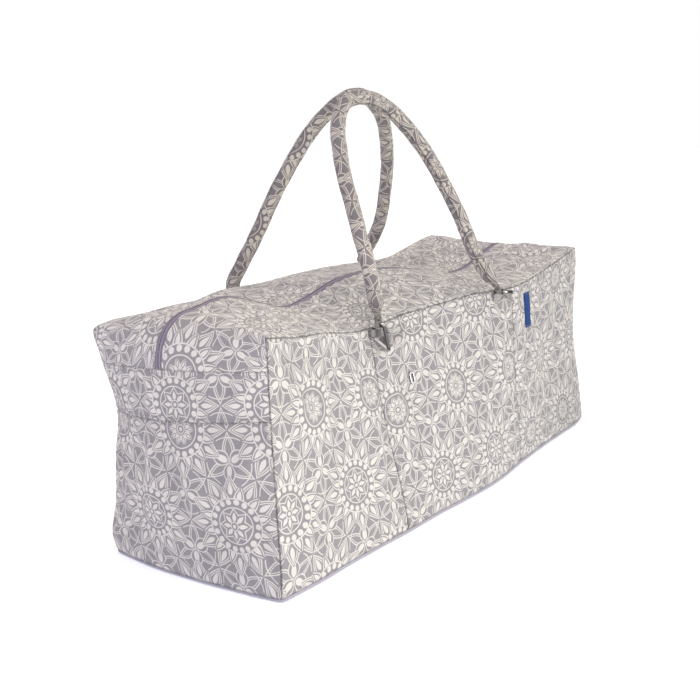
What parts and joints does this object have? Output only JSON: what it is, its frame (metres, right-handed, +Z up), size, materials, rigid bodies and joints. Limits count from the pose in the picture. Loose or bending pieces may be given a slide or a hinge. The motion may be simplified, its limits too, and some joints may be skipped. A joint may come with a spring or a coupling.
{
  "type": "yoga kit bag",
  "caption": "Long soft zip-top bag of printed cotton with a plain flat base, banded ends and padded rope handles on metal rings, for carrying a rolled exercise mat and props.",
  "frame": {"origin": "on the floor under the middle of the base", "axes": "+X along the bag's length, -Y out of the front with the side label, +Z up"},
  "size_m": [0.7077, 0.2848, 0.4691],
  "materials": {
    "printed_cotton": "matt woven cotton, grey-lilac ground with a cream line print",
    "plain_cotton": "matt plain lilac woven cotton",
    "zip": "dark violet coil zip on woven tape",
    "metal": "bright nickel-plated wire and plate",
    "label": "blank blue woven tape"
  },
  "bodies": {
    "root": {"front_left_panel": "printed_cotton", "front_pocket_panel": "printed_cotton", "front_right_panel": "printed_cotton", "back_panel": "printed_cotton", "top_front_strip": "printed_cotton", "top_back_strip": "printed_cotton", "left_end_panel": "printed_cotton", "left_end_band": "printed_cotton", "right_end_panel": "printed_cotton", "right_end_band": "printed_cotton", "front_handle": "printed_cotton", "back_handle": "printed_cotton", "base_panel": "plain_cotton", "front_left_tab": "plain_cotton", "front_right_tab": "plain_cotton", "back_left_tab": "plain_cotton", "back_right_tab": "plain_cotton", "zip_slider": "metal", "front_left_ring": "metal", "front_right_ring": "metal", "back_left_ring": "metal", "back_right_ring": "metal", "pocket_pull": "metal", "zip_tape": "zip", "side_label": "label"}
  },
  "joints": []
}
